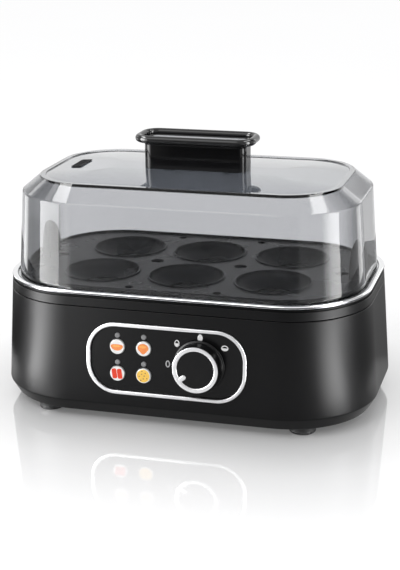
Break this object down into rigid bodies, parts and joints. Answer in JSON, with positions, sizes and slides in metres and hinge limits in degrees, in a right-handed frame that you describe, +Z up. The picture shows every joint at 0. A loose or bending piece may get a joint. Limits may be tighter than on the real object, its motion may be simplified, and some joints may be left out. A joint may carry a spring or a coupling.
{
  "type": "countertop egg cooker",
  "caption": "Low rounded-rectangle egg cooker: moulded base with timer knob and push buttons, steel pan, pocketed egg tray and clear lift-off lid with a column handle.",
  "frame": {"origin": "on the worktop under the middle of the whole cooker, at the undersides of its feet", "axes": "+X to the right along the length, +Y to the back (the panel faces -Y), +Z up"},
  "size_m": [0.2298, 0.1608, 0.1599],
  "materials": {
    "satin_black": "satin moulded",
    "gloss_black": "polished moulded",
    "tray_black": "semi-gloss moulded",
    "clear_smoke": "clear polished, lightly smoked",
    "chrome": "polished",
    "steel": "brushed",
    "aluminium": "rolled",
    "rubber": "matt",
    "silicone": "matt",
    "board_green": "lacquered",
    "button_white": "printed, glossy",
    "lamp_grey": "diffused",
    "ceramic": "glazed ceramic"
  },
  "bodies": {
    "base": {"body_shell": "satin_black", "collar_ring": "satin_black", "base_plate": "satin_black", "panel_fascia": "gloss_black", "buzzer": "gloss_black", "switch_1": "gloss_black", "switch_2": "gloss_black", "switch_3": "gloss_black", "switch_4": "gloss_black", "water_pan": "chrome", "panel_bezel": "chrome", "heating_element": "steel", "heat_shield": "steel", "rotary_switch": "steel", "base_screw_1": "steel", "base_screw_2": "steel", "base_screw_3": "steel", "base_screw_4": "steel", "board_screw_1": "steel", "board_screw_2": "steel", "board_screw_3": "steel", "board_screw_4": "steel", "heat_spreader": "aluminium", "foot_1": "rubber", "foot_2": "rubber", "foot_3": "rubber", "foot_4": "rubber", "cord_gland": "rubber", "pan_gasket": "silicone", "lead_live": "silicone", "lead_neutral": "silicone", "control_board": "board_green", "led_1": "lamp_grey", "led_2": "lamp_grey", "led_3": "lamp_grey", "led_4": "lamp_grey", "thermostat": "ceramic", "thermal_fuse": "ceramic", "terminal_block": "ceramic"},
    "lid": {"lid_shell": "clear_smoke", "lid_handle": "gloss_black", "handle_inlay": "chrome", "steam_vent": "gloss_black", "handle_screw_1": "steel", "handle_screw_2": "steel"},
    "tray": {"egg_tray": "tray_black"},
    "knob": {"knob_body": "gloss_black", "knob_ring": "chrome", "knob_pointer": "chrome", "knob_shaft": "steel"},
    "button_upper_left": {"button_1": "button_white"},
    "button_upper_right": {"button_2": "button_white"},
    "button_lower_left": {"button_3": "button_white"},
    "button_lower_right": {"button_4": "button_white"}
  },
  "joints": [
    {"name": "lid_lift", "type": "slide", "parent": "base", "child": "lid", "axis": [0, 0, 1], "range_m": [0, 0.2]},
    {"name": "tray_lift", "type": "slide", "parent": "base", "child": "tray", "axis": [0, 0, 1], "range_m": [0, 0.1]},
    {"name": "knob_turn", "type": "hinge", "parent": "base", "child": "knob", "pos_m": [0.0201, -0.07054, 0.04], "axis": [0, 0.9976, -0.0688], "range_deg": [0, 180]},
    {"name": "button_upper_left_press", "type": "slide", "parent": "base", "child": "button_upper_left", "axis": [0, 0.9976, -0.0688], "range_m": [0, 0.0008], "stiffness_N_per_m": 800},
    {"name": "button_upper_right_press", "type": "slide", "parent": "base", "child": "button_upper_right", "axis": [0, 0.9976, -0.0688], "range_m": [0, 0.0008], "stiffness_N_per_m": 800},
    {"name": "button_lower_left_press", "type": "slide", "parent": "base", "child": "button_lower_left", "axis": [0, 0.9976, -0.0688], "range_m": [0, 0.0008], "stiffness_N_per_m": 800},
    {"name": "button_lower_right_press", "type": "slide", "parent": "base", "child": "button_lower_right", "axis": [0, 0.9976, -0.0688], "range_m": [0, 0.0008], "stiffness_N_per_m": 800}
  ],
  "couplings": [
    {"joint": "tray_lift", "follows": "lid_lift", "ratio": 0.5}
  ]
}
